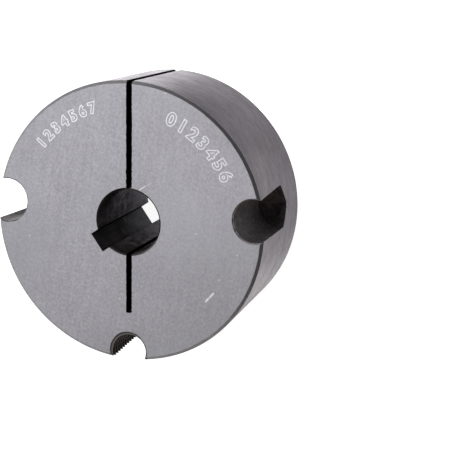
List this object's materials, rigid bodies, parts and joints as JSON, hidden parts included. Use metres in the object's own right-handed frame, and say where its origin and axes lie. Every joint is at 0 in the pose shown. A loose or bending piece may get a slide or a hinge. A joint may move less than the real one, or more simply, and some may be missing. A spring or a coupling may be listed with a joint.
{
  "type": "taper bush",
  "caption": "Split tapered bush that clamps a hub to a keyed shaft, with a straight bore, keyway, saw cut and screw holes that break out through its tapered side.",
  "frame": {"origin": "on the bore axis, in the plane of the small end, which the bush stands on", "axes": "+Z along the bore from the small end to the large end, +Y from the bore axis through the split"},
  "size_m": [0.1078, 0.1076, 0.0508],
  "materials": {
    "phosphated_iron": "fine-turned and phosphated, dark grey with a dull sheen"
  },
  "bodies": {
    "root": {"taper_bush": "phosphated_iron"}
  },
  "joints": []
}
